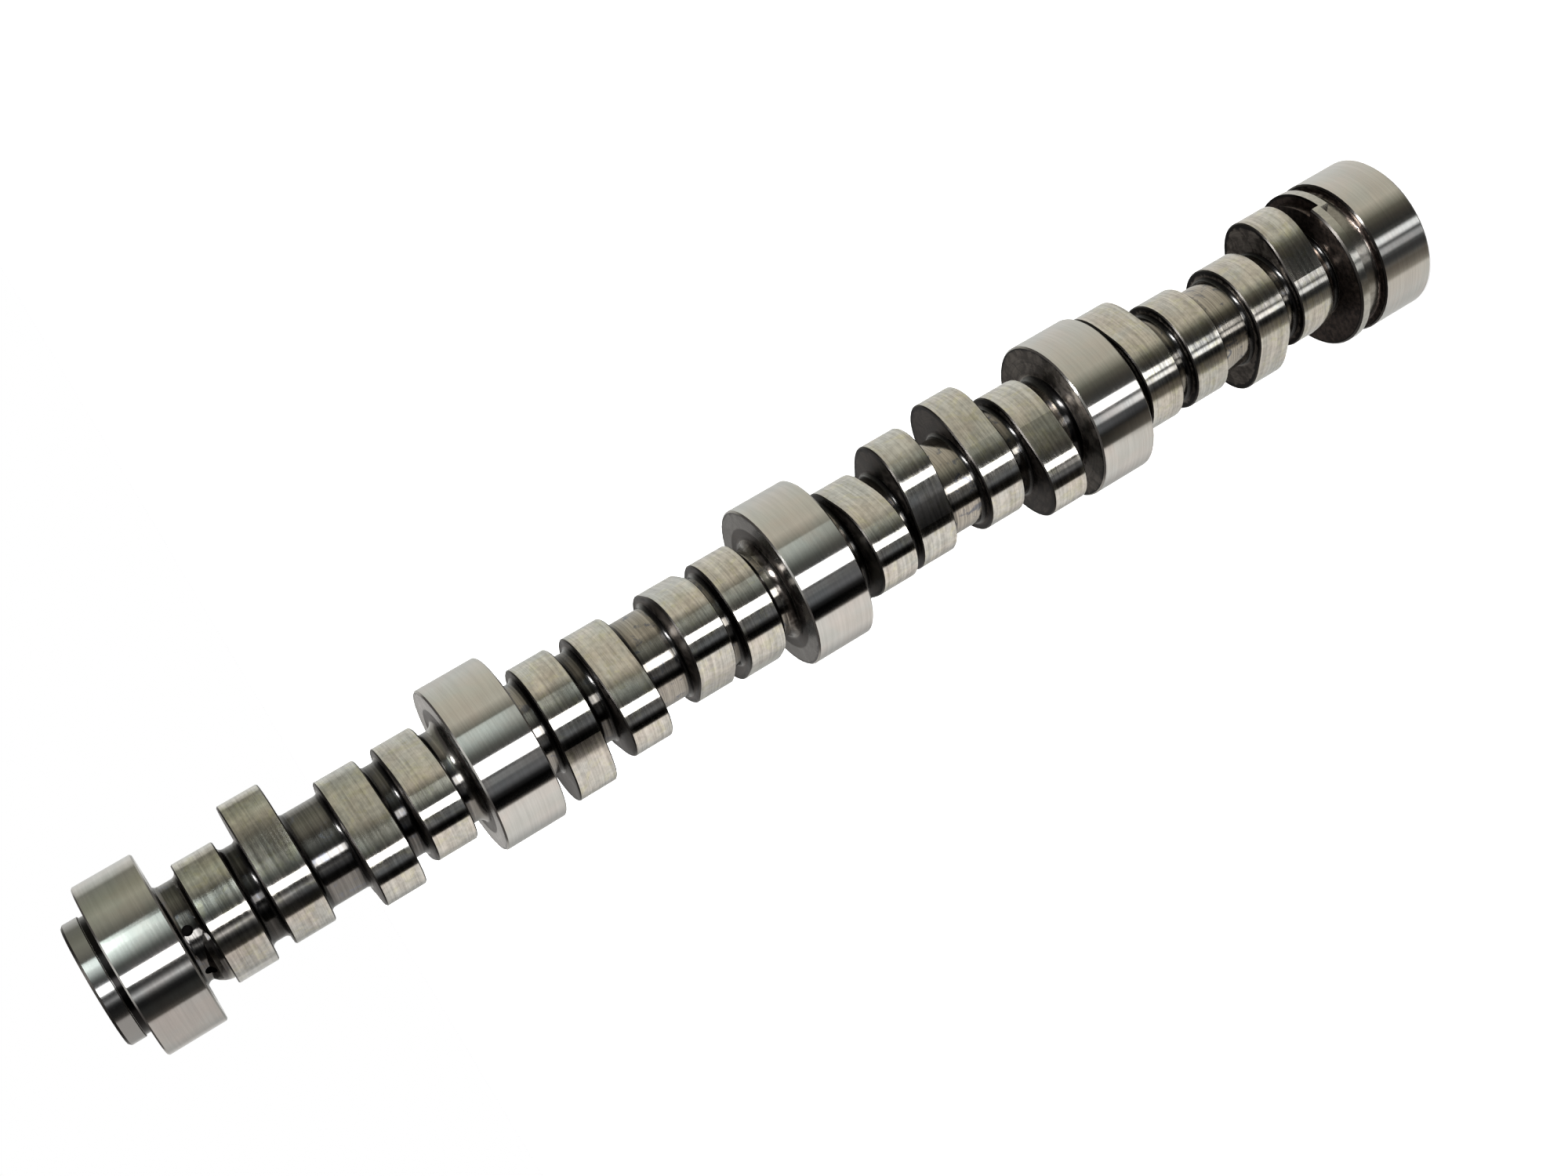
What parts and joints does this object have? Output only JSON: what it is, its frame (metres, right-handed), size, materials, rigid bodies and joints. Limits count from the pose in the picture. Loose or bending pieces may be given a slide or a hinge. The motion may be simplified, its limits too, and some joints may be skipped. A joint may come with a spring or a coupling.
{
  "type": "camshaft",
  "caption": "Steel camshaft with equal ground journals, roller lobes, a short bolted nose for a timing sprocket and a two-track sensor ring, for a pushrod V engine.",
  "frame": {"origin": "centre of the rear end face, on which the shaft stands", "axes": "+Z along the shaft's axis, from the rear end to the nose; +X is the nose direction of the second and eleventh lobes from the front"},
  "size_m": [0.055, 0.055, 0.4839],
  "materials": {
    "steel": "ground journals and lobes, dark turned core"
  },
  "bodies": {
    "root": {"camshaft": "steel"}
  },
  "joints": []
}
